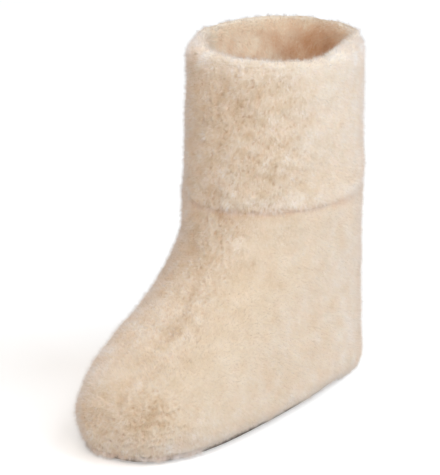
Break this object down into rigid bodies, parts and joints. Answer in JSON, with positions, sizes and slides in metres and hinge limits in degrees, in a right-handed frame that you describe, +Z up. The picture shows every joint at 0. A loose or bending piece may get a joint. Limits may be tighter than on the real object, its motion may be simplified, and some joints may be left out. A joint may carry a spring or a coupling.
{
  "type": "slipper boot",
  "caption": "Soft cream fleece slipper boot: hollow rounded foot, doubled shaft cuff with a rolled rim, fleece insole and thin flat dark sole; stands on the floor.",
  "frame": {"origin": "on the floor under the middle of the boot's box", "axes": "+X to the side that the picture shows, +Y to the heel (the toe points to -Y), +Z up"},
  "size_m": [0.1208, 0.278, 0.258],
  "materials": {
    "upper_fleece": "cream wool fleece with a short curly pile",
    "cuff_fleece": "cream wool fleece with a short curly pile",
    "sole_suede": "dark olive-grey napped suede",
    "insole_fleece": "warm cream wool fleece, pressed flat"
  },
  "bodies": {
    "root": {"upper": "upper_fleece", "cuff": "cuff_fleece", "outsole": "sole_suede", "insole": "insole_fleece"}
  },
  "joints": []
}
